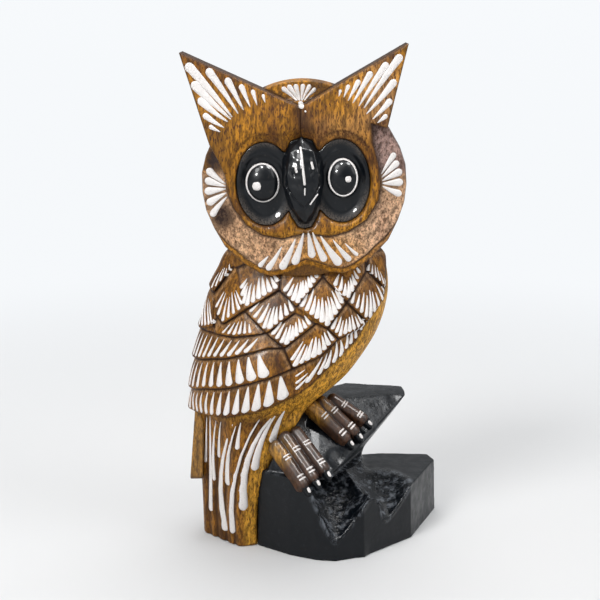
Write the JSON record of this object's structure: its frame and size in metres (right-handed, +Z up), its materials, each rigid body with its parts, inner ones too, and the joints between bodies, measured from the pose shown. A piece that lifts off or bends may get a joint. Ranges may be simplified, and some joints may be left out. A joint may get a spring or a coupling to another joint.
{
  "type": "carved owl figurine",
  "caption": "Carved and painted wooden owl with raised ear tufts, perched on a faceted black stump; stands on its flat base.",
  "frame": {"origin": "middle of the footprint box, on the table", "axes": "+Z up; +X the way the bird's breast points; -Y the side that the face looks to, the bird's own right"},
  "size_m": [0.1057, 0.0644, 0.202],
  "materials": {
    "feather_wood": "stained golden brown, clear gloss",
    "brow_wood": "stained golden brown, clear gloss",
    "face_wood": "pale wood with dark flecks, clear gloss",
    "dark_wood": "dark brown stain, clear gloss",
    "stump_paint": "chiselled wood under glossy black paint",
    "black_gloss": "smooth wood under glossy black paint",
    "white_paint": "raised brush strokes of white paint",
    "dowel_wood": "plain birch dowel"
  },
  "bodies": {
    "root": {"stump_base": "stump_paint", "perch": "stump_paint", "tail": "feather_wood", "rear_tail_feathers": "dark_wood", "torso": "feather_wood", "right_wing": "feather_wood", "left_wing": "feather_wood", "head": "face_wood", "right_brow": "brow_wood", "left_brow": "brow_wood", "eye_mask": "black_gloss", "right_eye": "black_gloss", "left_eye": "black_gloss", "beak": "black_gloss", "right_foot": "dark_wood", "left_foot": "dark_wood", "right_claws": "black_gloss", "left_claws": "black_gloss", "neck_dowel": "dowel_wood", "seat_dowel": "dowel_wood", "tail_dowels": "dowel_wood", "perch_dowels": "dowel_wood"}
  },
  "joints": []
}
